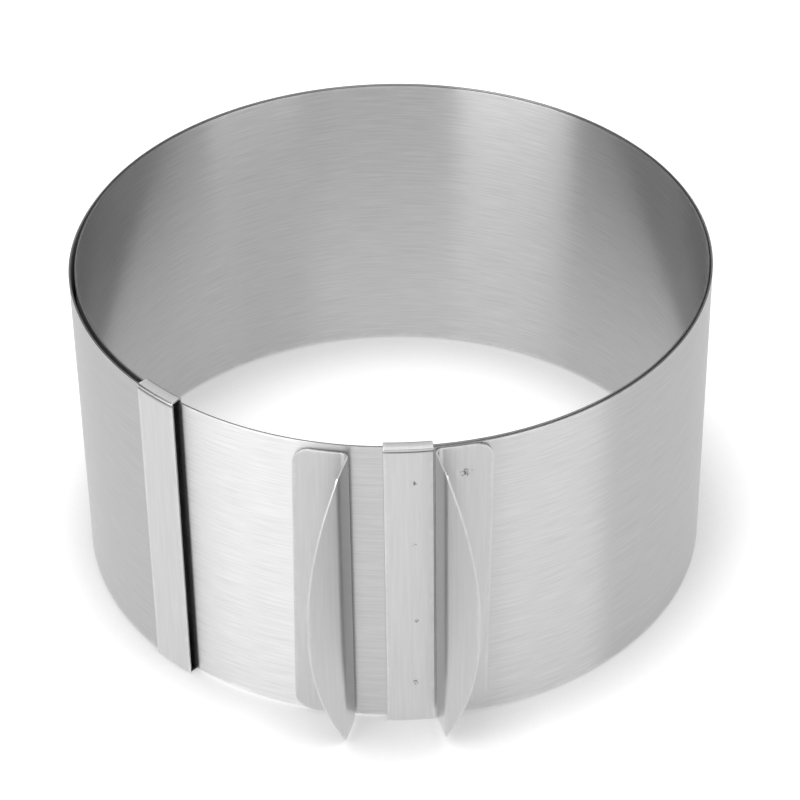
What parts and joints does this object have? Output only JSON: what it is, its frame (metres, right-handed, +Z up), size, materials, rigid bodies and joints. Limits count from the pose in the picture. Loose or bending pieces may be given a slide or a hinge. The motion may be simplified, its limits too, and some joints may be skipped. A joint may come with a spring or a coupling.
{
  "type": "adjustable cake ring",
  "caption": "Adjustable cake ring of sprung steel strip whose overlapping turns slide through folded guide clips, with bowed wing handles to set its width.",
  "frame": {"origin": "under the middle of the whole outline, in the plane that the ring stands on", "axes": "+Z up along the ring's axis, -Y towards the handles, +X to the right seen from the handles"},
  "size_m": [0.1632, 0.1794, 0.0866],
  "materials": {
    "outer_band": "satin, brushed along the strip",
    "inner_band": "satin, brushed along the strip",
    "guide_clip": "satin, brushed upright",
    "handle": "satin, brushed upright"
  },
  "bodies": {
    "outer_turn": {"outer_band": "outer_band", "front_guide_clip": "guide_clip", "left_guide_clip": "guide_clip", "right_handle": "handle"},
    "inner_turn": {"inner_band": "inner_band", "left_handle": "handle"}
  },
  "joints": [
    {"name": "strip_slide", "type": "hinge", "parent": "outer_turn", "child": "inner_turn", "pos_m": [0.00032, 0.0084, 0.0433], "axis": [0, 0, 1], "range_deg": [-21.9, 5.4]}
  ]
}
